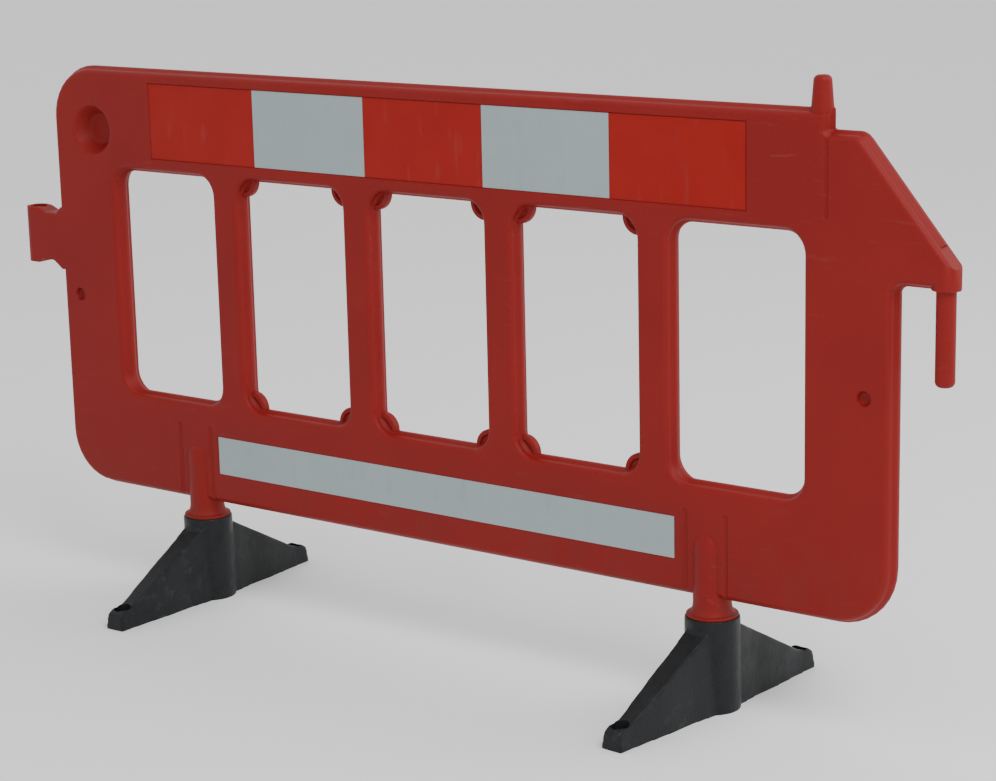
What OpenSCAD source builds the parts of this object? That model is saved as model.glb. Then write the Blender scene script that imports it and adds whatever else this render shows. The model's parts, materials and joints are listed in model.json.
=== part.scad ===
// Interlocking pedestrian barrier: one hollow blow-moulded panel on two swivelling
// anti-trip feet, with retroreflective sheets on both faces. Millimetres, +Z up.
// Origin: on the ground, midway between the two coupling axes. The front faces -Y.

/* [Panel] */
// Width of the panel body, without the coupling sleeve and arm
panel_w = 1808; // [1300:10:2200]
// Height of the top rail above the ground
top_z = 1000; // [900:5:1200]
// Thickness of the panel from face to face
panel_t = 46; // [40:1:60]
// Radius of the panel's outer corners
corner_r = 100; // [40:1:120]
// Wall thickness of the hollow moulding
wall = 3.5; // [2.5:0.1:5]
// Height of the central parting ridge above the edges on either side of it
ridge_rise = 6; // [1:0.5:8]
// Width of the parting ridge across the thickness
ridge_w = 16; // [8:1:24]

/* [Windows] */
// Height of the top rail, from the window heads to its top edge
top_rail_h = 193.5; // [160:0.5:240]
// Height of the bottom rail, from the panel's bottom edge to the window sills
bottom_rail_h = 194.5; // [175:0.5:230]
// Width of the solid stile at each end of the row of windows
stile_w = 163; // [130:0.5:200]
// Width of the posts between the windows
post_w = 70.5; // [50:0.5:90]
// Radius of the window corners
window_r = 34; // [20:1:60]
// Radius of the thin quarter-round lugs in the corners of the three middle windows
lug_r = 30; // [22:1:40]
// Thickness of those lugs
lug_t = 8; // [4:1:12]

/* [Reflective sheets] */
// Distance from each edge of the panel to the recess of the upper band
band_inset = 260; // [180:1:300]
// Drop from the top rail to the middle of the upper band
band_drop = 95; // [85:1:100]
// Height of the upper band
sheet_h = 138; // [100:1:150]
// Distance from each leg's axis to the end of the lower strip
strip_inset = 59; // [50:1:120]
// Height of the middle of the lower strip above the panel's bottom edge
strip_rise = 97; // [70:1:120]
// Height of the lower strip
strip_h = 71; // [50:1:100]
// Thickness of the sheets and the strip
sheet_t = 0.8; // [0.5:0.1:1.5]
// Gap between neighbouring sheets, and from a sheet to its recess
sheet_gap = 0.5; // [0.2:0.1:2]
// Depth of the recess for the upper band
band_recess = 2.5; // [1.5:0.1:4]
// Depth of the recess for the lower strip
strip_recess = 1.2; // [0.8:0.1:2]

/* [Legs] */
// Distance of each leg from the panel's edge
leg_inset = 338; // [250:1:400]
// Radius of the leg column and neck
leg_r = 32; // [28:0.5:36]
// Height of the column above the panel's bottom edge
leg_rise = 119; // [80:1:140]
// Length of the neck between the top of the foot and the panel's bottom edge
neck_l = 31; // [29:1:60]
// Width of the rim of the foot's top that shows round the collar
collar_lip = 2.5; // [0:0.5:6]
// Thickness of the collar's rim
collar_h = 5; // [3:0.5:10]
// Radius of the spigot inside the foot
spigot_r = 30; // [24:0.5:34]
// Height of the snap bead round the spigot
bead_rise = 1.6; // [1:0.1:3]
// Distance of the grooves beside each column from its axis
groove_x = 38.5; // [34:0.5:46]
// Width of the grooves
groove_w = 5; // [3:0.5:8]
// Depth of the grooves
groove_d = 2.2; // [1:0.1:3]
// Height of the grooves above the panel's bottom edge
groove_rise = 152; // [110:1:160]
// Length of the groove below the upright peg
peg_groove_l = 134; // [80:1:150]

/* [Couplings] */
// Distance of the pin's and the sleeve's axes past the panel's edges
coupling_reach = 76; // [70:1:120]
// Radius of the coupling pin
pin_r = 15.5; // [10:0.5:17]
// Length of the coupling pin below the arm
pin_l = 149; // [120:1:180]
// Radial play of a pin in the sleeve
sleeve_play = 1.5; // [0.5:0.1:3]
// Height of the sleeve
sleeve_h = 108; // [80:1:140]
// Height of the web that joins the sleeve to the panel
web_h = 92; // [60:1:100]
// Drop from the top rail to the underside of the arm
arm_drop = 262; // [230:1:300]
// Gap between the arm's underside and the top of the neighbour's sleeve
couple_gap = 17; // [5:1:30]
// Drop from the top rail to the shoulder of the arm
shoulder_drop = 32; // [20:1:60]
// Length of the level shoulder past the end of the top rail
shoulder_l = 54; // [20:1:70]
// Drop from the shoulder to the foot of the arm's slope
slope_drop = 163; // [120:1:180]
// Distance of the upright peg from the panel's edge
peg_inset = 137; // [115:1:160]
// Radius of the peg at its base
peg_r1 = 17.5; // [12:0.5:20]
// Radius of the peg near its top
peg_r2 = 14.5; // [10:0.5:18]
// Height of the peg above the top rail
peg_h = 50; // [30:1:80]

/* [Moulded hollows] */
// Distance of the dished recess from the panel's edge
dish_inset = 107; // [80:1:140]
// Depth of its centre below the top rail
dish_drop = 119.5; // [100:0.5:150]
// Radius of the recess at the face
dish_r1 = 51; // [30:1:55]
// Radius of its floor
dish_r2 = 31; // [15:1:40]
// Depth of the recess
dish_d = 28; // [10:1:34]
// Distance of the small dimples from the panel's edges
dimple_inset = 50; // [30:1:80]
// Height of the dimples above the ground
dimple_z = 560; // [450:1:700]
// Radius of the dimples
dimple_r = 13.5; // [8:0.5:18]
// Depth of the dimples
dimple_d = 9; // [4:1:14]

/* [Feet] */
// Length of a foot from tip to tip
foot_l = 528; // [420:1:640]
// Radius of the hub at its top
hub_r = 46; // [42:0.5:56]
// Height of the hub
hub_h = 158; // [140:1:175]
// Drop from the hub's top to the top of the wings
wing_drop = 10; // [4:1:30]
// Width of the wings where they meet the hub
wing_w = 66; // [50:1:80]
// Width of the wing tips
tip_w = 44; // [38:1:60]
// Height of the wing tips
tip_h = 38; // [28:1:60]
// Radial running clearance of the spigot in the foot
socket_play = 0.08; // [0.02:0.01:0.1]
// Running clearance between the collar and the top of the foot
seat_play = 0.2; // [0.1:0.05:0.5]
// Thickness of the foot under the spigot
floor_t = 38; // [20:1:60]
// Radius of the anchor hole in each tip
anchor_r = 7; // [4:0.5:9]
// Radius of the counterbore over the anchor hole
anchor_head_r = 15; // [10:0.5:17]
// Height of the shelf that the counterbore leaves
anchor_shelf = 22; // [12:1:30]
// Turn of the left foot about its leg
left_turn = 1; // [-90:1:90]
// Turn of the right foot about its leg
right_turn = -5; // [-90:1:90]

/* [Hidden] */
$fn = 64;

window_count = 5;
sheet_count = 5;
past = 1;                 // how far a cutter runs past the face it opens
half_w = panel_w / 2;
half_t = panel_t / 2;
ground_gap = hub_h + neck_l;
window_pitch = (panel_w - 2 * stile_w + post_w) / window_count;
window_w = window_pitch - post_w;
sill_z = ground_gap + bottom_rail_h;
lintel_z = top_z - top_rail_h;
window_h = lintel_z - sill_z;
leg_x = half_w - leg_inset;
band_z = top_z - band_drop;
strip_z = ground_gap + strip_rise;
band_w = 2 * (half_w - band_inset);
sheet_w = (band_w - (sheet_count + 1) * sheet_gap) / sheet_count;
strip_w = 2 * (leg_x - strip_inset);
coupling_x = half_w + coupling_reach;
peg_x = half_w - peg_inset;
dish_x = half_w - dish_inset;
dimple_x = half_w - dimple_inset;
shoulder_z = top_z - shoulder_drop;
rail_end_x = peg_x + half_t;
arm_low_z = top_z - arm_drop;
sleeve_top_z = arm_low_z - couple_gap;
nose_x = coupling_x + half_t;
slope_foot = [coupling_x, shoulder_z - slope_drop];
sleeve_r = half_t;
sleeve_bore_r = pin_r + sleeve_play;
sleeve_low_z = sleeve_top_z - sleeve_h;
web_low_z = sleeve_low_z + (sleeve_h - web_h) / 2;
underarm_r = 14;          // fillet between the arm's underside and the panel's edge
pin_tip_r = 9;            // rounding of the pin's and the peg's ends
collar_r = hub_r - collar_lip;
collar_low_z = hub_h + seat_play;
collar_top_z = collar_low_z + collar_h;
column_top_z = ground_gap + leg_rise - leg_r;
bead_z = floor_t + 30;
bead_cut_r = 3;           // section radius of the snap bead
bead_ring_r = spigot_r + bead_rise - bead_cut_r;
flare_h = 22;             // height of the flare between neck and collar
anchor_inset = 23;        // from the tip's end to the anchor hole's axis
tip_corner_r = 10;
wing_root_h = hub_h - wing_drop;
wing_flat = 42;           // length of the nearly level part at each wing tip

// Convex outline of the arm, counter-clockwise from inside the panel.
arm_inside_x = peg_x - half_t;
arm_points = [
    [arm_inside_x, arm_low_z], [nose_x, arm_low_z], [nose_x, slope_foot[1] - 34],
    slope_foot, [rail_end_x + shoulder_l, shoulder_z], [arm_inside_x, shoulder_z]];

// Moves every edge of a convex counter-clockwise outline inwards by d.
function inset(points, d) = [for (i = [0:len(points) - 1])
    let (a = points[(i + len(points) - 1) % len(points)], b = points[i],
        c = points[(i + 1) % len(points)],
        u = (b - a) / norm(b - a), v = (c - b) / norm(c - b),
        m = [-u[1], u[0]], n = [-v[1], v[0]])
    b + d * (m + n) / (1 + m * n)];

function window_x(i) = (i - (window_count - 1) / 2) * window_pitch;
function sheet_x(i) = (i - (sheet_count - 1) / 2) * (sheet_w + sheet_gap);
// Only the windows between the two end ones have lugs in their corners.
function has_lugs(i) = i > 0 && i < window_count - 1;

// Turns a flat outline drawn in X and Z into a plate of thickness t about Y = 0.
module plate(t) {
    rotate([90, 0, 0]) linear_extrude(height = t, center = true) children();
}

// Rectangle from (x0, z0) to (x1, z1) with round corners.
module round_rect(x0, z0, x1, z1, r) {
    translate([x0 + r, z0]) square([x1 - x0 - 2 * r, z1 - z0]);
    translate([x0, z0 + r]) square([x1 - x0, z1 - z0 - 2 * r]);
    for (x = [x0 + r, x1 - r], z = [z0 + r, z1 - r]) translate([x, z]) circle(r);
}

// Panel and arm outline, drawn d inside the parting ridge.
module outline(d) {
    difference() {
        round_rect(-half_w + d, ground_gap + d, half_w - d, top_z - d, corner_r - d);
        translate([rail_end_x - d, shoulder_z - d]) square([half_w, corner_r + d]);
    }
    polygon(inset(arm_points, d));
    difference() {
        translate([half_w - d - past, arm_low_z + d - underarm_r])
            square([underarm_r + past, underarm_r + past]);
        translate([half_w - d + underarm_r, arm_low_z + d - underarm_r]) circle(underarm_r);
    }
}

// The row of windows, each drawn d larger all round.
module windows(d) {
    for (i = [0:window_count - 1])
        translate([window_x(i), 0])
            round_rect(-window_w / 2 - d, sill_z - d, window_w / 2 + d, lintel_z + d,
                window_r + d);
}

// What lies between the sleeve's and the arm's round ends, r about each coupling axis.
module between_ends(r) {
    translate([-coupling_x, -half_t - past, 0])
        cube([2 * coupling_x, panel_t + 2 * past, top_z + past]);
    for (s = [-1, 1]) translate([s * coupling_x, 0, 0]) cylinder(r = r, h = top_z + past);
}

// Cuts the top rail's end round about the peg, r from its axis.
module rail_end_cut(r) {
    difference() {
        translate([peg_x, -panel_t, shoulder_z]) cube([panel_t, 2 * panel_t, shoulder_drop + past]);
        translate([peg_x, 0, shoulder_z - past]) cylinder(r = r, h = shoulder_drop + 3 * past);
    }
}

// Round bar standing on z = 0 with a rounded top edge.
module round_bar(r1, r2, h, tip_r) {
    cylinder(r1 = r1, r2 = r2, h = h - tip_r);
    translate([0, 0, h - tip_r]) rotate_extrude() {
        square([r2 - tip_r, tip_r]);
        translate([r2 - tip_r, 0]) intersection() { circle(tip_r); square(tip_r); }
    }
}

// Quarter-round lugs at mid-thickness in the corners of the middle windows.
module window_lugs() {
    plate(lug_t) for (i = [0:window_count - 1]) if (has_lugs(i))
        for (s = [-1, 1], z = [sill_z, lintel_z]) intersection() {
            translate([window_x(i) + s * window_w / 2, z]) circle(lug_r);
            translate([window_x(i) - window_w / 2 - past, sill_z - past])
                square([window_w + 2 * past, window_h + 2 * past]);
        }
}

// Column, neck, flared collar and spigot of one leg, one below another.
module leg() {
    translate([0, 0, collar_top_z]) cylinder(r = leg_r, h = column_top_z - collar_top_z);
    translate([0, 0, column_top_z]) sphere(leg_r);
    translate([0, 0, collar_low_z]) cylinder(r = collar_r, h = collar_h);
    translate([0, 0, collar_top_z]) cylinder(r1 = collar_r - 2, r2 = leg_r, h = flare_h);
    translate([0, 0, floor_t + past]) cylinder(r = spigot_r, h = collar_low_z - floor_t);
    translate([0, 0, bead_z]) rotate_extrude() translate([bead_ring_r, 0]) circle(bead_cut_r);
}

// Hollow inside one leg, open to the panel's hollow above.
module leg_hollow() {
    bottom = floor_t + past + wall;
    bore_r = min(spigot_r, leg_r) - wall;
    translate([0, 0, bottom]) cylinder(r = bore_r, h = column_top_z - bottom);
    translate([0, 0, column_top_z]) sphere(bore_r);
}

// Recesses of both faces, grown by g: sheets, dish, dimples and grooves.
module face_hollows(g) {
    for (s = [-1, 1]) {
        flat_recess(s, band_w + 2 * g, sheet_h + 2 * sheet_gap + 2 * g, band_z, band_recess + g);
        flat_recess(s, strip_w + 2 * sheet_gap + 2 * g, strip_h + 2 * sheet_gap + 2 * g, strip_z,
            strip_recess + g);
        for (leg = [-1, 1], side = [-1, 1])
            translate([leg * leg_x + side * groove_x, 0, 0])
                flat_recess(s, groove_w + 2 * g, groove_rise + 2 * g,
                    ground_gap + groove_rise / 2, groove_d + g);
        translate([rail_end_x - groove_w, 0, 0])
            flat_recess(s, groove_w + 2 * g, peg_groove_l + 2 * g,
                shoulder_z - groove_w - peg_groove_l / 2, groove_d + g);
    }
    translate([-dish_x, -half_t, top_z - dish_drop]) rotate([-90, 0, 0]) {
        cylinder(r1 = dish_r1 + g, r2 = dish_r2 + g, h = dish_d + g);
        translate([0, 0, -past]) cylinder(r = dish_r1 + g, h = past);
    }
    for (x = [-dimple_x, dimple_x]) translate([x, -half_t - past, dimple_z])
        rotate([-90, 0, 0]) cylinder(r = dimple_r + g, h = dimple_d + g + past);
}

// Shallow rectangular cut of depth d in the face on side s, centred on x = 0 and height z.
module flat_recess(s, w, h, z, d) {
    translate([-w / 2, s > 0 ? half_t - d : -half_t - past, z - h / 2]) cube([w, d + past, h]);
}

// Air space inside the moulding, a wall's thickness from every outer surface.
module hollow() {
    intersection() {
        difference() {
            plate(panel_t - 2 * wall) difference() {
                outline(ridge_rise + wall);
                windows(ridge_rise + wall);
            }
            face_hollows(wall);
            rail_end_cut(half_t - wall);
        }
        between_ends(half_t - wall);
    }
    for (s = [-1, 1]) translate([s * leg_x, 0, 0]) leg_hollow();
    web_hollow_x = sleeve_bore_r + wall;
    translate([-coupling_x + web_hollow_x, -half_t + wall, web_low_z + wall])
        cube([coupling_reach - web_hollow_x + ridge_rise + wall + past, panel_t - 2 * wall,
            web_h - 2 * wall]);
}

// Web, sleeve and arm end follow the round plan of the coupling axes. A flat round seat under
// the arm's end, about the pin, faces the neighbour's sleeve.
module barrier_panel() color([0.72, 0.10, 0.09]) {
    difference() {
        union() {
            intersection() {
                union() {
                    plate(ridge_w) difference() { outline(0); windows(0); }
                    plate(panel_t) difference() { outline(ridge_rise); windows(ridge_rise); }
                }
                between_ends(half_t);
            }
            window_lugs();
            for (s = [-1, 1]) translate([s * leg_x, 0, 0]) leg();
            translate([-coupling_x, 0, sleeve_low_z]) cylinder(r = sleeve_r, h = sleeve_h);
            translate([-coupling_x, -half_t, web_low_z])
                cube([coupling_reach + wall, panel_t, web_h]);
            translate([coupling_x, 0, arm_low_z]) {
                cylinder(r = half_t, h = ridge_rise + past);
                translate([0, 0, past]) mirror([0, 0, 1])
                    round_bar(pin_r, pin_r, pin_l + past, pin_tip_r);
            }
            translate([peg_x, 0, top_z - past]) round_bar(peg_r1, peg_r2, peg_h + past, pin_tip_r);
        }
        face_hollows(0);
        rail_end_cut(half_t);
        hollow();
        translate([-coupling_x, 0, sleeve_low_z - past])
            cylinder(r = sleeve_bore_r, h = sleeve_h + 2 * past);
    }
}

// Plan of one wing, pointing along +Y from the hub's axis.
module wing_plan() {
    polygon([
        [-wing_w / 2, 0], [wing_w / 2, 0], [tip_w / 2, foot_l / 2 - tip_corner_r],
        [tip_w / 2 - tip_corner_r, foot_l / 2], [-tip_w / 2 + tip_corner_r, foot_l / 2],
        [-tip_w / 2, foot_l / 2 - tip_corner_r]]);
    for (s = [-1, 1])
        translate([s * (tip_w / 2 - tip_corner_r), foot_l / 2 - tip_corner_r])
            circle(tip_corner_r);
}

// Side view of one wing: Y along the wing, Z up.
module wing_profile() {
    polygon([
        [0, 0], [foot_l / 2 + past, 0], [foot_l / 2 + past, tip_h * 0.6],
        [foot_l / 2 - tip_corner_r, tip_h - 4], [foot_l / 2 - wing_flat, tip_h + 4],
        [hub_r / 2, wing_root_h], [0, wing_root_h]]);
}

module wing() {
    difference() {
        intersection() {
            linear_extrude(height = hub_h) wing_plan();
            rotate([90, 0, 90]) linear_extrude(height = 2 * hub_r, center = true) wing_profile();
        }
        translate([0, foot_l / 2 - anchor_inset, -past]) cylinder(r = anchor_r, h = hub_h);
        translate([0, foot_l / 2 - anchor_inset, anchor_shelf])
            cylinder(r = anchor_head_r, h = hub_h);
    }
}

// One foot about its leg's axis, with a blind socket and a groove for the snap bead.
module foot() {
    difference() {
        union() {
            cylinder(r1 = hub_r + 1, r2 = hub_r, h = hub_h);
            for (turn = [0, 180]) rotate([0, 0, turn]) wing();
        }
        translate([0, 0, floor_t]) cylinder(r = spigot_r + socket_play, h = hub_h);
        translate([0, 0, bead_z]) rotate_extrude()
            translate([bead_ring_r, 0]) circle(bead_cut_r + socket_play);
    }
}

module left_foot() color([0.13, 0.14, 0.15]) {
    translate([-leg_x, 0, 0]) rotate([0, 0, left_turn]) foot();
}

module right_foot() color([0.13, 0.14, 0.15]) {
    translate([leg_x, 0, 0]) rotate([0, 0, right_turn]) foot();
}

// Block i of the upper band on side s: red at both ends and in the middle, white between.
module sheet(i, s) {
    bed_y = half_t - band_recess;
    color(i % 2 == 0 ? [0.80, 0.13, 0.08] : [0.82, 0.85, 0.87])
        translate([sheet_x(i) - sheet_w / 2, s > 0 ? bed_y : -bed_y - sheet_t, band_z - sheet_h / 2])
            cube([sheet_w, sheet_t, sheet_h]);
}

// Lower white strip on side s.
module strip(s) {
    bed_y = half_t - strip_recess;
    color([0.82, 0.85, 0.87])
        translate([-strip_w / 2, s > 0 ? bed_y : -bed_y - sheet_t, strip_z - strip_h / 2])
            cube([strip_w, sheet_t, strip_h]);
}

barrier_panel();
left_foot();
right_foot();
for (i = [0:sheet_count - 1]) {
    sheet(i, -1);
    sheet(i, 1);
}
strip(-1);  // front_strip
strip(1);  // rear_strip
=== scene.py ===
import json
from math import cos, pi, radians, sin, sqrt, tan

import bmesh
import bpy
from mathutils import Matrix, Vector


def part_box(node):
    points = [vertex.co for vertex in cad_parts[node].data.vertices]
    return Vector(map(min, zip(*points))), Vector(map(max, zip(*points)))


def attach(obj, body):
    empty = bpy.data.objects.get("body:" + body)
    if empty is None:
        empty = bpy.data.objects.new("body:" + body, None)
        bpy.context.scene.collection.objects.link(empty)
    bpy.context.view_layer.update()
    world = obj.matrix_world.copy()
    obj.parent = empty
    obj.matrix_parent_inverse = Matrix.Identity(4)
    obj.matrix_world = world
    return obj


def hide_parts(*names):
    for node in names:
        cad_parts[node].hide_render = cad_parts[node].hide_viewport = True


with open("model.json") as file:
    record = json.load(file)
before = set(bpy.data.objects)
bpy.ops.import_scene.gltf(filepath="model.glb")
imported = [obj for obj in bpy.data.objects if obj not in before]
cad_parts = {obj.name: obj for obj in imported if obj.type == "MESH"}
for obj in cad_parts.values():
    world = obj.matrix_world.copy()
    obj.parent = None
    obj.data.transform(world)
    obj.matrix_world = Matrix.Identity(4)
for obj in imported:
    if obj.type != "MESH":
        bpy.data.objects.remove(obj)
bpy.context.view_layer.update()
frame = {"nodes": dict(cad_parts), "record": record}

# ---------------------------------------------------------------- Barrier panel
# One hollow polyethylene blow-moulding: the panel with its five windows, the arm, the leg
# columns, the coupling pin and sleeve and the lamp peg all come out of one mould, whose two
# halves meet in a ridge that runs round every edge at mid-thickness.
mount_at = {mount["name"]: Vector(mount["pos_m"]) for mount in frame["record"]["mounts"]}
pin_x = mount_at["coupling_pin"].x
sleeve_x = mount_at["coupling_sleeve"].x
peg_x = mount_at["lamp_peg"].x
rail_z = mount_at["lamp_peg"].z
leg_x = mount_at["right_foot_sole"].x
peg_top_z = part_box("barrier_panel")[1][2]
hub_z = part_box("right_foot")[1][2]

panel_edge = 0.904
bottom_z = 0.189
half_t = 0.023
corner_r = 0.100
window_w, sill_z, lintel_z, window_r = 0.240, 0.3835, 0.8065, 0.034
window_pitch = 0.3105
rail_end_x = peg_x + half_t
shoulder_z = rail_z - 0.032
arm_low_z = rail_z - 0.262
shoulder_x = 0.844
slope_foot = (pin_x, shoulder_z - 0.163)
slope = Vector((slope_foot[0] - shoulder_x, 0, slope_foot[1] - shoulder_z)).normalized()
slope_out = Vector((-slope.z, 0, slope.x))
nose_overrun = 0.040

ridge_rise, ridge_flat = 0.006, 0.002
edge_round = 0.010
thinnest_share = 0.02


def flat_outline(bm, corners):
    """A flat face in X and Z at y = 0 with its corners, given as (x, z, radius), made round."""
    points = [bm.verts.new((x, 0, z)) for x, z, _ in corners]
    bm.faces.new(points)
    for i, (vert, (x, z, radius)) in enumerate(zip(points, corners)):
        before, after = Vector(corners[i - 1][:2]), Vector(corners[(i + 1) % len(corners)][:2])
        here = Vector((x, z))
        turn = (here - before).angle(after - here)
        if radius:
            bmesh.ops.bevel(bm, geom=[vert], offset=radius * tan(turn / 2), offset_type="OFFSET",
                            affect="VERTICES", segments=max(3, int(turn * 6)), profile=0.5,
                            material=-1)


def box_corners(x0, z0, x1, z1, radius):
    return [(x0, z0, radius), (x1, z0, radius), (x1, z1, radius), (x0, z1, radius)]


def solid(name, bm):
    """Closes a bmesh into an object with outward faces."""
    bmesh.ops.remove_doubles(bm, verts=bm.verts, dist=1e-6)
    bmesh.ops.recalc_face_normals(bm, faces=bm.faces)
    mesh = bpy.data.meshes.new(name)
    bm.to_mesh(mesh)
    bm.free()
    made = bpy.data.objects.new(name, mesh)
    bpy.context.scene.collection.objects.link(made)
    return made


def settle(piece):
    """Makes the shape that a piece's modifiers give it its own mesh."""
    bpy.context.view_layer.update()
    seen = piece.evaluated_get(bpy.context.evaluated_depsgraph_get())
    mesh = bpy.data.meshes.new_from_object(seen)
    piece.modifiers.clear()
    piece.data = mesh


def combine(body, tool, operation):
    """Adds tool to body, or cuts it from body, and removes it."""
    step = body.modifiers.new("combine", "BOOLEAN")
    step.operation, step.solver, step.object = operation, "MANIFOLD", tool
    settle(body)
    bpy.data.objects.remove(tool)


def arc(x, z, radius, start, end, steps):
    """Points of an arc about (x, z), from start to end in degrees."""
    return [(x + radius * cos(radians(start + (end - start) * i / steps)),
             z + radius * sin(radians(start + (end - start) * i / steps)))
            for i in range(steps + 1)]


def lathe(bm, profile, place=Matrix(), steps=48):
    """Turns a profile of (radius, height) points about Z into a closed solid at place."""
    present = set(bm.verts)
    verts = [bm.verts.new((max(r, 0), 0, z)) for r, z in profile]
    edges = [bm.edges.new(pair) for pair in zip(verts, verts[1:])]
    bmesh.ops.spin(bm, geom=verts + edges, cent=(0, 0, 0), axis=(0, 0, 1), angle=2 * pi,
                   steps=steps, use_merge=True)
    turned = [v for v in bm.verts if v not in present]
    bmesh.ops.remove_doubles(bm, verts=turned, dist=1e-6)
    turned = [v for v in bm.verts if v not in present]
    bmesh.ops.transform(bm, matrix=place, verts=turned)


def block(bm, low, high):
    """A box between two corners, returned as its vertices."""
    made = bmesh.ops.create_cube(bm, size=1)["verts"]
    middle, size = (Vector(low) + Vector(high)) / 2, Vector(high) - Vector(low)
    bmesh.ops.scale(bm, vec=size, verts=made)
    bmesh.ops.translate(bm, vec=middle, verts=made)
    return made


def slice_across(bm, place, across):
    """Adds a ring of edges where a plane goes through the whole mesh."""
    bmesh.ops.bisect_plane(bm, geom=bm.verts[:] + bm.edges[:] + bm.faces[:], dist=1e-7,
                           plane_co=place, plane_no=across)


def round_share(out):
    """How much of the half thickness is left at a share, out, of the way round a round end."""
    return sqrt(max(thinnest_share ** 2, 1 - out * out))


# The front half grows from the mid-plane and is mirrored to the rear: the ridge, the step down to
# the shell, and the shell's rounded edge up to the flat face.
bm = bmesh.new()
flat_outline(bm, [
    (-panel_edge, bottom_z, corner_r), (panel_edge, bottom_z, corner_r),
    (panel_edge, arm_low_z, 0.014), (pin_x + nose_overrun, arm_low_z, 0),
    (pin_x + nose_overrun, slope_foot[1] + slope.z / slope.x * nose_overrun, 0),
    (shoulder_x, shoulder_z, 0.022), (rail_end_x, shoulder_z, 0.003),
    (rail_end_x, rail_z, 0), (-panel_edge, rail_z, corner_r)])
for i in range(-2, 3):
    middle_x = i * window_pitch
    flat_outline(bm, box_corners(middle_x - window_w / 2, sill_z, middle_x + window_w / 2,
                                 lintel_z, window_r))
bmesh.ops.delete(bm, geom=bm.faces[:], context="FACES_ONLY")
bmesh.ops.triangle_fill(bm, use_beauty=True, use_dissolve=False, edges=bm.edges[:],
                        normal=(0, -1, 0))
for face in bm.faces:
    if face.normal.y > 0:
        face.normal_flip()
shell_y = half_t - edge_round
profile = [(ridge_rise * t * t * (3 - 2 * t), ridge_flat + (shell_y - ridge_flat) * t)
           for t in (0, 0.15, 0.3, 0.45, 0.6, 0.75, 0.88, 1)]
profile += [(ridge_rise + edge_round - x, shell_y + y)
            for x, y in arc(0, 0, edge_round, 0, 90, 6)[1:]]
front = bm.faces[:]
extruded = bmesh.ops.extrude_face_region(bm, geom=front)
front = [item for item in extruded["geom"] if isinstance(item, bmesh.types.BMFace)]
grown = set(front)
bmesh.ops.delete(bm, geom=[f for f in bm.faces if f not in grown and abs(f.normal.y) > 0.5],
                 context="FACES")
bmesh.ops.translate(bm, vec=(0, -profile[0][1], 0),
                    verts=list({v for f in front for v in f.verts}))
for (inset, depth), (next_inset, next_depth) in zip(profile, profile[1:]):
    bmesh.ops.inset_region(bm, faces=front, thickness=next_inset - inset,
                           depth=next_depth - depth, use_even_offset=True, use_boundary=True)
half = bm.verts[:] + bm.edges[:] + bm.faces[:]
bmesh.ops.mirror(bm, geom=half, matrix=Matrix(), merge_dist=1e-6, axis="Y")

# The end of the top rail is round in plan about the lamp peg, down to the arm's shoulder.
fade_h = 0.013
fade_z = shoulder_z - fade_h
for x in [peg_x + half_t * sin(radians(t)) for t in (20, 40, 55, 68, 80)]:
    slice_across(bm, (x, 0, 0), (1, 0, 0))
for z in (fade_z, (fade_z + shoulder_z) / 2, shoulder_z - 0.001):
    slice_across(bm, (0, 0, z), (0, 0, 1))
for vert in bm.verts:
    out = (vert.co.x - peg_x) / half_t
    if 0 < out < 1.01 and vert.co.z > fade_z - 1e-6:
        full = min(1, (vert.co.z - fade_z) / (shoulder_z - fade_z))
        vert.co.y *= 1 - full * (1 - round_share(out))
panel = solid("moulded_panel", bm)

# What stands proud of the shell: the legs, the coupling web and sleeve, the peg and the lugs
# of the three middle windows.
bm = bmesh.new()
leg_r, collar_r = 0.032, 0.0435
collar_low_z = hub_z + 0.0002
collar_top_z = collar_low_z + 0.005
column_z = bottom_z + 0.119
spigot_r, spigot_low_z = 0.0298, 0.0392
flare_h = 0.020
leg_profile = [(0, spigot_low_z), (spigot_r - 0.002, spigot_low_z), (spigot_r, spigot_low_z + 0.002),
               (spigot_r, collar_low_z), (collar_r - 0.001, collar_low_z)]
leg_profile += arc(collar_r - 0.002, collar_top_z - 0.002, 0.002, 0, 90, 3)
leg_profile += [(leg_r + (collar_r - 0.004 - leg_r) * (1 - sin(radians(t))),
                 collar_top_z + flare_h * (1 - cos(radians(t)))) for t in range(0, 91, 15)]
leg_profile += arc(0, column_z - leg_r, leg_r, 0, 90, 10)
for side in (-1, 1):
    lathe(bm, leg_profile, Matrix.Translation((side * leg_x, 0, 0)), 64)

peg_foot_r, peg_r, peg_tip = 0.0175, 0.0145, 0.009
peg_root, peg_fillet = 0.024, 0.0012
peg_profile = [(0, rail_z - peg_root), (peg_foot_r + peg_fillet, rail_z - peg_root),
               (peg_foot_r + peg_fillet, rail_z - 0.001), (peg_foot_r, rail_z + 0.003)]
peg_profile += arc(peg_r - peg_tip, peg_top_z - peg_tip, peg_tip, 0, 90, 6) + [(0, peg_top_z)]
lathe(bm, peg_profile, Matrix.Translation((peg_x, 0, 0)))

lug_r, lug_half, lug_dish = 0.030, 0.0075, 0.0035
lug_profile = [(0, -lug_half + lug_dish), (lug_r - 0.011, -lug_half + lug_dish),
               (lug_r - 0.008, -lug_half)]
lug_profile += arc(lug_r - 0.003, -lug_half + 0.003, 0.003, -90, 0, 3)
lug_profile += [(r, -z) for r, z in reversed(lug_profile)]
for i in range(-1, 2):
    for side in (-1, 1):
        for z in (sill_z, lintel_z):
            lathe(bm, lug_profile, Matrix.Translation((i * window_pitch + side * window_w / 2, 0, z))
                  @ Matrix.Rotation(pi / 2, 4, "X"), 40)
combine(panel, solid("proud_parts", bm), "UNION")

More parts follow.
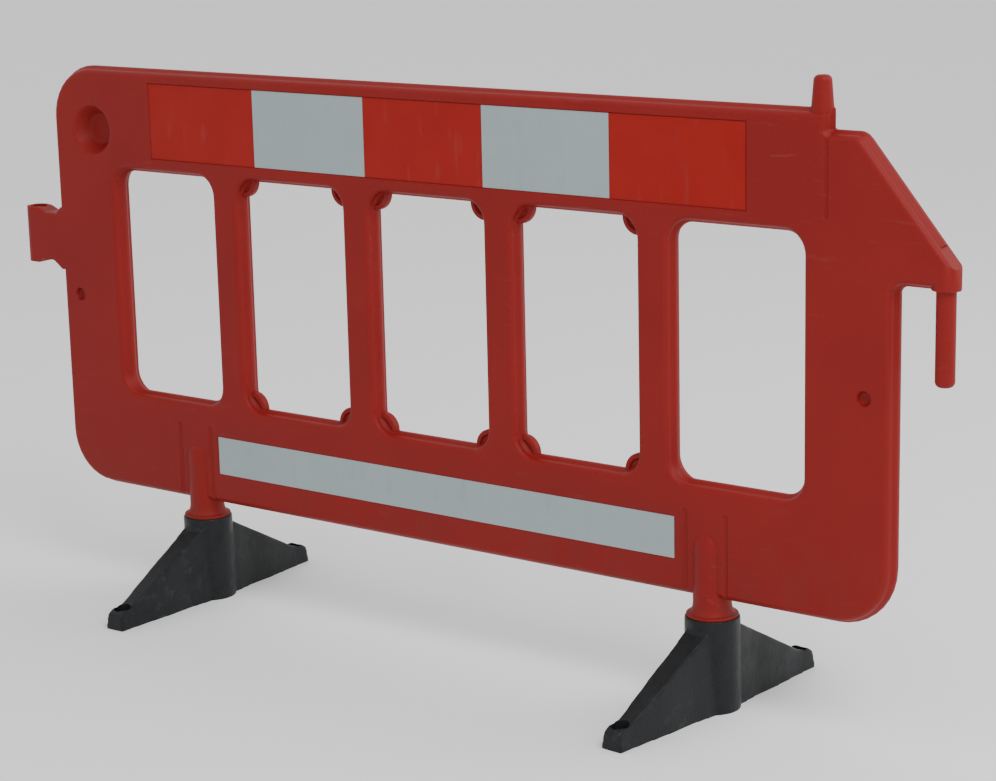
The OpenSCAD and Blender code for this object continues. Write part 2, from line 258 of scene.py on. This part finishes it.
# The coupling web and sleeve: one block, round in plan about the sleeve's axis.
bm = bmesh.new()
web_low_z, web_top_z, sleeve_low_z, sleeve_top_z = 0.621, 0.713, 0.613, 0.721
buried_x = -panel_edge + 0.030
flat_outline(bm, [
    (sleeve_x - half_t, sleeve_low_z, 0.006), (sleeve_x + 0.018, sleeve_low_z, 0.004),
    (sleeve_x + 0.026, web_low_z, 0.006), (-panel_edge - 0.018, web_low_z, 0.012),
    (-panel_edge + 0.004, web_low_z - 0.016, 0), (buried_x, web_low_z - 0.016, 0),
    (buried_x, web_top_z + 0.014, 0), (-panel_edge + 0.003, web_top_z + 0.012, 0),
    (-panel_edge - 0.010, web_top_z, 0.008), (sleeve_x + 0.036, web_top_z, 0.010),
    (sleeve_x + 0.016, sleeve_top_z, 0.006), (sleeve_x - half_t, sleeve_top_z, 0.003)])
front = bm.faces[:]
made = bmesh.ops.extrude_face_region(bm, geom=front)["geom"]
bmesh.ops.translate(bm, vec=(0, 2 * half_t, 0),
                    verts=[item for item in made if isinstance(item, bmesh.types.BMVert)])
bmesh.ops.translate(bm, vec=(0, -half_t, 0), verts=bm.verts[:])
rims = [e for e in bm.edges if abs(abs(e.verts[0].co.y) - half_t) < 1e-6
        and abs(e.verts[0].co.y - e.verts[1].co.y) < 1e-6]
top_rims = [e for e in rims if min(v.co.z for v in e.verts) > web_top_z - 0.001
            and min(v.co.x for v in e.verts) > sleeve_x]
top_round = 0.007
bmesh.ops.bevel(bm, geom=top_rims, offset=top_round, offset_type="OFFSET", affect="EDGES", segments=4,
                profile=0.5, material=-1)
for t in (0, 15, 30, 45, 57, 68, 78, 85):
    slice_across(bm, (sleeve_x - half_t * sin(radians(t)), 0, 0), (1, 0, 0))
for vert in bm.verts:
    out = (sleeve_x - vert.co.x) / half_t
    if out > 0:
        vert.co.y *= round_share(out)
combine(panel, solid("coupling_web", bm), "UNION")

# The recesses, grooves, dish and dimples pressed into the faces, and the sleeve's bore.
bm = bmesh.new()
band_z, band_w, band_h, band_d = rail_z - 0.095, 1.288, 0.139, 0.0025
strip_z, strip_w, strip_h, strip_d = bottom_z + 0.097, 1.015, 0.072, 0.0012
rim_flare, past = 0.0016, 0.004
for side in (-1, 1):
    for z, w, h, d in ((band_z, band_w, band_h, band_d), (strip_z, strip_w, strip_h, strip_d)):
        near, far = side * (half_t - d), side * (half_t + past)
        verts = block(bm, (-w / 2, min(near, far), z - h / 2), (w / 2, max(near, far), z + h / 2))
        grow = rim_flare * (d + past) / d
        for vert in verts:
            if abs(vert.co.y) > half_t:
                vert.co.x += grow * (1 if vert.co.x > 0 else -1)
                vert.co.z += grow * (1 if vert.co.z > z else -1)

groove_r, groove_d = 0.0075, 0.0024


def groove(x, z0, z1, side):
    """A half-round groove down the face on one side."""
    capsule = arc(0, z0 + groove_r, groove_r, -90, 0, 4) + arc(0, z1 - groove_r, groove_r, 0, 90, 4)
    lathe(bm, capsule, Matrix.Translation((x, side * (half_t + groove_r - groove_d), 0)), 24)


for side in (-1, 1):
    for leg in (-1, 1):
        for beside in (-0.0385, 0.0385):
            groove(leg * leg_x + beside, bottom_z - 0.010, bottom_z + 0.152, side)
    groove(rail_end_x - 0.005, shoulder_z - 0.138, shoulder_z - 0.003, side)

into_face = Matrix.Rotation(pi / 2, 4, "X")
dish_x, dish_z, dish_r, dish_floor_r, dish_d = -0.797, rail_z - 0.1195, 0.051, 0.031, 0.028
lip = 0.007
dish_profile = [(0, 0.006), (dish_r + 0.004, 0.006), (dish_r + 0.004, 0)]
dish_profile += [(dish_r - lip * sin(radians(t)), -lip * (1 - cos(radians(t)))) for t in (20, 40, 60)]
dish_profile += arc(dish_floor_r - 0.008, -dish_d + 0.010, 0.010, -20, -90, 5) + [(0, -dish_d)]
lathe(bm, dish_profile, Matrix.Translation((dish_x, -half_t, dish_z)) @ into_face, 64)

dimple_x, dimple_z, dimple_r, dimple_d = 0.854, 0.560, 0.0135, 0.009
dimple_profile = [(0, 0.004), (dimple_r + 0.002, 0.004), (dimple_r + 0.002, 0),
                  (dimple_r - 0.001, -0.001)]
dimple_profile += arc(dimple_r - 0.007, -dimple_d + 0.004, 0.004, 0, -90, 4) + [(0, -dimple_d)]
for side in (-1, 1):
    lathe(bm, dimple_profile, Matrix.Translation((side * dimple_x, -half_t, dimple_z)) @ into_face)

bore_r, bore_lip = 0.017, 0.002
bore_profile = [(0, sleeve_low_z - 0.003), (bore_r + bore_lip + 0.003, sleeve_low_z - 0.003),
                (bore_r, sleeve_low_z + bore_lip), (bore_r, sleeve_top_z - bore_lip),
                (bore_r + bore_lip + 0.003, sleeve_top_z + 0.003), (0, sleeve_top_z + 0.003)]
lathe(bm, bore_profile, Matrix.Translation((sleeve_x, 0, 0)))
combine(panel, solid("hollows", bm), "DIFFERENCE")

# The arm's nose is round in plan about the pin, and the ridge stops short of it.
bm = bmesh.new()
block(bm, (pin_x, -0.060, arm_low_z - 0.020), (pin_x + 0.080, 0.060, rail_z))
lathe_bm = bmesh.new()
lathe(lathe_bm, [(0, arm_low_z - 0.030), (half_t, arm_low_z - 0.030), (half_t, rail_z + 0.010),
                 (0, rail_z + 0.010)], Matrix.Translation((pin_x, 0, 0)), 64)
trim = solid("nose_trim", bm)
combine(trim, solid("nose_round", lathe_bm), "DIFFERENCE")
combine(panel, trim, "DIFFERENCE")

bm = bmesh.new()
ridge_stop = Vector((shoulder_x, 0, shoulder_z)) + slope * 0.210 - slope_out * ridge_rise
verts = block(bm, (0, -0.040, 0), (0.080, 0.040, 0.040))
turn = Matrix((slope, (0, 1, 0), slope_out)).transposed().to_4x4()
bmesh.ops.transform(bm, matrix=Matrix.Translation(ridge_stop) @ turn, verts=verts)
combine(panel, solid("ridge_stop", bm), "DIFFERENCE")

bm = bmesh.new()
verts = block(bm, (-0.040, -0.040, 0), (0.040, 0.040, 0.040))
brow = Matrix.Translation((pin_x + 0.0175, 0, shoulder_z - 0.191)) @ Matrix.Rotation(radians(66), 4, "Y")
bmesh.ops.transform(bm, matrix=brow, verts=verts)
combine(panel, solid("nose_brow", bm), "DIFFERENCE")

# The pin with its flat round seat under the nose.
bm = bmesh.new()
pin_r, pin_low_z, pin_tip = 0.0155, arm_low_z - 0.149, 0.009
seat_r, seat_h = 0.0229, 0.020
pin_profile = [(0, pin_low_z)] + arc(pin_r - pin_tip, pin_low_z + pin_tip, pin_tip, -90, 0, 6)
pin_profile += [(pin_r, arm_low_z - 0.002), (pin_r + 0.002, arm_low_z), (seat_r - 0.001, arm_low_z),
                (seat_r, arm_low_z + 0.001), (seat_r, arm_low_z + seat_h), (0, arm_low_z + seat_h)]
lathe(bm, pin_profile, Matrix.Translation((pin_x, 0, 0)), 64)
combine(panel, solid("coupling_pin", bm), "UNION")


def finish_shading(piece, crease):
    """Smooth shading with edges sharper than crease kept, and flat faces kept flat."""
    for face in piece.data.polygons:
        face.use_smooth = True
    piece.data.set_sharp_from_angle(angle=radians(crease))
    weigh = piece.modifiers.new("flat_faces", "WEIGHTED_NORMAL")
    weigh.keep_sharp = True


finish_shading(panel, 38)


class Wire:
    """An output of a shader node: Python's operators on it add Math nodes."""

    def __init__(self, tree, socket=None):
        self.tree, self.socket = tree, socket

    def node(self, kind, settings=None, inputs=None, output=0):
        """Adds a node, sets its settings, then fills its inputs with values or wires."""
        made = self.tree.nodes.new("ShaderNode" + kind)
        for name, value in (settings or {}).items():
            setattr(made, name, value)
        for name, value in (inputs or {}).items():
            if isinstance(value, Wire):
                self.tree.links.new(value.socket, made.inputs[name])
            else:
                made.inputs[name].default_value = value
        return Wire(self.tree, made.outputs[output] if made.outputs else made)

    def math(self, operation, *values):
        return self.node("Math", {"operation": operation}, dict(enumerate(values)))

    def __add__(self, other):
        return self.math("ADD", self, other)

    def __sub__(self, other):
        return self.math("SUBTRACT", self, other)

    def __rsub__(self, other):
        return self.math("SUBTRACT", other, self)

    def __mul__(self, other):
        return self.math("MULTIPLY", self, other)

    __radd__, __rmul__ = __add__, __mul__

    def between(self, low, high):
        """0 below low, 1 above high, and even in between."""
        return self.node("MapRange", None, {"Value": self, "From Min": low, "From Max": high})

    def mix(self, factor, one, other):
        """A colour from one to the other."""
        return self.node("Mix", {"data_type": "RGBA"}, {0: factor, 6: one, 7: other}, 2)


def new_material(name):
    """A material with an empty node tree, as a wire to build on."""
    material = bpy.data.materials.new(name)
    material.use_nodes = True
    material.node_tree.nodes.clear()
    return material, Wire(material.node_tree)


def close_material(shade, colour, roughness, bump, depth, **fixed):
    """The surface shader and the output, with the height as bump."""
    relief = shade.node("Bump", None, {"Height": bump, "Distance": depth, "Strength": 1.0})
    surface = shade.node("BsdfPrincipled", None, {"Base Color": colour, "Roughness": roughness,
                                                  "Normal": relief})
    for name, value in fixed.items():
        surface.socket.node.inputs[name.replace("_", " ")].default_value = value
    shade.node("OutputMaterial", None, {"Surface": surface})


def noise(shade, scale, detail=3.0, where=None, stretch=None):
    """Noise from 0 to 1 on the piece's own coordinates, in features per metre."""
    where = where or shade.node("TexCoord", None, None, 3)
    if stretch:
        where = shade.node("Mapping", None, {"Vector": where, "Scale": stretch})
    return shade.node("TexNoise", None, {"Vector": where, "Scale": scale, "Detail": detail})


# Red polyethylene: the blown skin is satin with a fine orange-peel grain, a little cloudy in
# colour, with pale scuffs and some road dust low down.
plastic, shade = new_material("red_polyethylene")
cloud = noise(shade, 5.0, 4.0).between(0.35, 0.65)
speckle = noise(shade, 260.0, 2.0).between(0.3, 0.7)
scuff = (noise(shade, 90.0, 5.0, stretch=(0.15, 1.0, 1.0)).between(0.62, 0.74)
         * noise(shade, 3.0, 2.0).between(0.45, 0.65))
place = shade.node("TexCoord", None, None, 3)
height = shade.node("SeparateXYZ", None, {0: place}, 2)
dust = (1 - height.between(0.16, 0.36)) * noise(shade, 22.0, 5.0).between(0.40, 0.75)
colour = shade.mix(cloud, (0.185, 0.0068, 0.0060, 1), (0.205, 0.0090, 0.0075, 1))
colour = shade.mix(speckle * 0.25, colour, (0.235, 0.016, 0.013, 1))
colour = shade.mix(scuff * 0.35, colour, (0.24, 0.060, 0.052, 1))
colour = shade.mix(dust * 0.30, colour, (0.115, 0.040, 0.030, 1))
roughness = 0.46 + cloud * 0.06 + scuff * 0.14 + dust * 0.15
grain = noise(shade, 520.0, 3.0) + noise(shade, 60.0, 3.0) * 0.8
close_material(shade, colour, roughness, grain, 0.00016, IOR=1.45, Specular_IOR_Level=0.2)
panel.data.materials.clear()
panel.data.materials.append(plastic)
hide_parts("barrier_panel")
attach(panel, "panel")

# ---------------------------------------------------------------- Feet
# Two low feet of moulded recycled rubber, each a hub on the leg's spigot with a long wing to
# the front and to the rear. An anchor hole with a counterbore goes through each tip.
hub_r, hub_draft = 0.046, 0.001
wing_reach = 0.264
wing_top_z = hub_z - 0.010
wing_start, wing_slope, tip_slope = 0.023, 0.533, 0.10
tip_start, tip_start_z = 0.225, 0.0395
tip_drop = 0.006
tip_half, root_half, waist_half = 0.0215, 0.033, 0.027
top_narrowing = 0.72
wing_steps = 22
blend_cell, skimmed = 0.0024, 0.0012
anchor_reach, anchor_r, anchor_head_r, anchor_shelf_z = 0.241, 0.007, 0.015, 0.022


def smooth_step(low, high, value):
    part = min(1, max(0, (value - low) / (high - low)))
    return part * part * (3 - 2 * part)


def wing_top(d):
    """Height of the wing's top edge at distance d from the hub's axis."""
    ridge = wing_top_z - wing_slope * (d - wing_start)
    tip = tip_start_z - tip_slope * (d - tip_start)
    return max(ridge, tip) - tip_drop * smooth_step(wing_reach - 0.012, wing_reach, d)


def wing_half(d):
    """Half the wing's width at distance d, with a slight waist between hub and tip."""
    waist = root_half + (waist_half - root_half) * smooth_step(0.030, 0.100, d)
    return waist + (tip_half - waist_half) * smooth_step(0.130, 0.235, d)


def build_foot(name, sole, turn):
    """One foot about its leg's axis, turned as its CAD solid is."""
    bm = bmesh.new()
    for end in (-1, 1):
        verts = block(bm, (-1, 0.004, 0), (1, wing_reach, 1))
        faces = {f for v in verts for f in v.link_faces}
        geometry = list(verts) + list({e for f in faces for e in f.edges}) + list(faces)
        for step in range(1, wing_steps):
            cut = bmesh.ops.bisect_plane(bm, geom=geometry, dist=1e-7, plane_no=(0, 1, 0),
                                         plane_co=(0, wing_reach * step / wing_steps, 0))
            geometry = list({*cut["geom"], *[g for g in geometry if g.is_valid]})
        wing = {item for item in geometry if isinstance(item, bmesh.types.BMVert) and item.is_valid}
        for vert in wing:
            x, d, up = vert.co
            draft = 1.0 if up < 0.5 else top_narrowing
            vert.co = (x * wing_half(d) * draft, d * end, up * wing_top(d))
    lathe(bm, [(0, 0), (hub_r + hub_draft, 0), (hub_r, hub_z), (0, hub_z)], steps=64)
    foot = solid(name, bm)
    remesh = foot.modifiers.new("blend", "REMESH")
    remesh.mode, remesh.voxel_size, remesh.use_smooth_shade = "VOXEL", blend_cell, True
    soften = foot.modifiers.new("soften", "SMOOTH")
    soften.factor, soften.iterations = 0.5, 7
    settle(foot)

    bm = bmesh.new()
    bm.from_mesh(foot.data)
    for z, up in ((skimmed, -1), (hub_z - skimmed, 1)):
        cut = bmesh.ops.bisect_plane(bm, geom=bm.verts[:] + bm.edges[:] + bm.faces[:], dist=1e-6,
                                     plane_co=(0, 0, z), plane_no=(0, 0, up), clear_outer=True)
        rim = [e for e in cut["geom_cut"] if isinstance(e, bmesh.types.BMEdge)]
        bmesh.ops.edgeloop_fill(bm, edges=rim)
    for vert in bm.verts:
        vert.co.z = (vert.co.z - skimmed) * hub_z / (hub_z - 2 * skimmed)
    bmesh.ops.recalc_face_normals(bm, faces=bm.faces)
    bm.to_mesh(foot.data)
    bm.free()

    bm = bmesh.new()
    socket_r, socket_low_z = 0.0302, 0.038
    lathe(bm, [(0, socket_low_z), (socket_r, socket_low_z), (socket_r, hub_z - 0.002),
               (socket_r + 0.004, hub_z + 0.002), (0, hub_z + 0.002)], steps=64)
    for end in (-1, 1):
        hole = [(0, -0.010), (anchor_r, -0.010), (anchor_r, anchor_shelf_z),
                (anchor_head_r - 0.002, anchor_shelf_z), (anchor_head_r, anchor_shelf_z + 0.003),
                (anchor_head_r + 0.001, 0.080), (0, 0.080)]
        lathe(bm, hole, Matrix.Translation((0, end * anchor_reach, 0)), 40)
    combine(foot, solid("holes", bm), "DIFFERENCE")
    foot.data.transform(Matrix.Translation((sole.x, 0, 0)) @ Matrix.Rotation(turn, 4, "Z"))
    return foot


rubber, shade = new_material("recycled_rubber")
mottle = noise(shade, 28.0, 5.0).between(0.42, 0.62)
crumb = noise(shade, 420.0, 2.0).between(0.35, 0.65)
# Lighter bluish patches: partly dust and wear, partly a painted sheen, a highlight painted into the
# rubber's colour.
dust_and_sheen = noise(shade, 60.0, 6.0).between(0.55, 0.75) * noise(shade, 9.0, 3.0).between(0.40, 0.60)
colour = shade.mix(mottle, (0.0045, 0.0060, 0.0066, 1), (0.0085, 0.0105, 0.0115, 1))
colour = shade.mix(crumb * 0.4, colour, (0.0195, 0.0215, 0.0230, 1))
colour = shade.mix(dust_and_sheen * 0.5, colour, (0.040, 0.045, 0.049, 1))
roughness = 0.36 + mottle * 0.16 + dust_and_sheen * 0.12
grain = noise(shade, 330.0, 4.0) + noise(shade, 45.0, 4.0) * 1.6
close_material(shade, colour, roughness, grain, 0.0005, IOR=1.45, Specular_IOR_Level=0.25)

foot_turn = {"left": 1, "right": -5}
for name, turned in foot_turn.items():
    foot = build_foot(f"{name}_rubber_foot", mount_at[f"{name}_foot_sole"], radians(turned))
    finish_shading(foot, 45)
    foot.data.materials.clear()
    foot.data.materials.append(rubber)
    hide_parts(f"{name}_foot")
    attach(foot, f"{name}_foot")

# ---------------------------------------------------------------- Reflective sheets
# Self-adhesive retroreflective sheet, stuck in the recesses: five blocks in the upper band,
# red and white in turn, and one long white strip below, on both faces of the panel.


def reflective_sheet(name, tint, pale):
    """Retroreflective film: a tight honeycomb of cells under a clear glossy face."""
    material, shade = new_material(name)
    place = shade.node("TexCoord", None, None, 3)
    cells = shade.node("TexVoronoi", {"feature": "DISTANCE_TO_EDGE"},
                       {"Vector": place, "Scale": 330.0, "Randomness": 0.15})
    wall = 1 - cells.between(0.02, 0.10)
    cloud = noise(shade, 14.0, 4.0).between(0.35, 0.65)
    smear = noise(shade, 46.0, 5.0, stretch=(1.0, 1.0, 0.25)).between(0.58, 0.76)
    colour = shade.mix(cloud * 0.5, tint, pale)
    colour = shade.mix(wall * 0.25, colour, pale)
    colour = shade.mix(smear * 0.12, colour, (0.15, 0.135, 0.125, 1))
    roughness = 0.38 + smear * 0.18 + cloud * 0.05
    close_material(shade, colour, roughness, noise(shade, 40.0, 2.0) - wall * 0.15, 0.00010,
                   IOR=1.45, Specular_IOR_Level=0.2)
    return material


red_film = reflective_sheet("red_reflective_film", (0.262, 0.0060, 0.0034, 1),
                            (0.290, 0.0100, 0.0062, 1))
white_film = reflective_sheet("white_reflective_film", (0.275, 0.335, 0.350, 1),
                              (0.305, 0.362, 0.375, 1))
for face in ("front", "rear"):
    for i in range(1, 6):
        node = frame["nodes"][f"{face}_sheet_{i}"]
        node.material_slots[0].material = red_film if i % 2 else white_film
    frame["nodes"][f"{face}_strip"].material_slots[0].material = white_film

# ---------------------------------------------------------------- Floor, light and camera
# A wide pale floor that runs out into a white surround, with two large soft lights high beyond
# the right end, and the camera at chest height in front of that end.
bm = bmesh.new()
bmesh.ops.create_grid(bm, x_segments=1, y_segments=1, size=40)
floor_mesh = bpy.data.meshes.new("floor")
bm.to_mesh(floor_mesh)
bm.free()
floor = bpy.data.objects.new("floor", floor_mesh)
bpy.context.scene.collection.objects.link(floor)
floor_material, shade = new_material("pale_floor")
close_material(shade, shade.mix(noise(shade, 2.0), (0.90, 0.90, 0.90, 1), (0.92, 0.92, 0.92, 1)),
               0.8, noise(shade, 120.0), 0.00005)
floor.data.materials.append(floor_material)

world = bpy.data.worlds.new("surround")
bpy.context.scene.world = world
world.use_nodes = True
world.node_tree.nodes["Background"].inputs["Color"].default_value = (1.0, 1.0, 1.0, 1)
world.node_tree.nodes["Background"].inputs["Strength"].default_value = 1.0


def soft_light(name, place, target, size, watts):
    lamp = bpy.data.lights.new(name, "AREA")
    lamp.shape, lamp.size, lamp.energy = "SQUARE", size, watts
    lit = bpy.data.objects.new(name, lamp)
    lit.location = place
    lit.rotation_euler = (Vector(target) - Vector(place)).to_track_quat("-Z", "Y").to_euler()
    bpy.context.scene.collection.objects.link(lit)


soft_light("key", (3.2, -1.6, 4.2), (0.2, 0, 0.5), 2.4, 130)
soft_light("rim", (3.5, 3.0, 2.8), (0.2, 0, 0.6), 2.0, 60)

yaw, pitch, roll = radians(37.29), radians(12.91), radians(-1.33)
back = Vector((sin(yaw) * cos(pitch), -cos(yaw) * cos(pitch), sin(pitch)))
level = Vector((cos(yaw), sin(yaw), 0))
upright = back.cross(level)
right = cos(roll) * level + sin(roll) * upright
up = cos(roll) * upright - sin(roll) * level
lens = bpy.data.cameras.new("camera")
lens.sensor_width, lens.lens = 36.0, 91.23
lens.clip_end = 200
camera = bpy.data.objects.new("camera", lens)
camera.matrix_world = (Matrix.Translation((2.68609, -3.34998, 1.44832))
                       @ Matrix((right, up, back)).transposed().to_4x4())
bpy.context.scene.collection.objects.link(camera)
bpy.context.scene.camera = camera
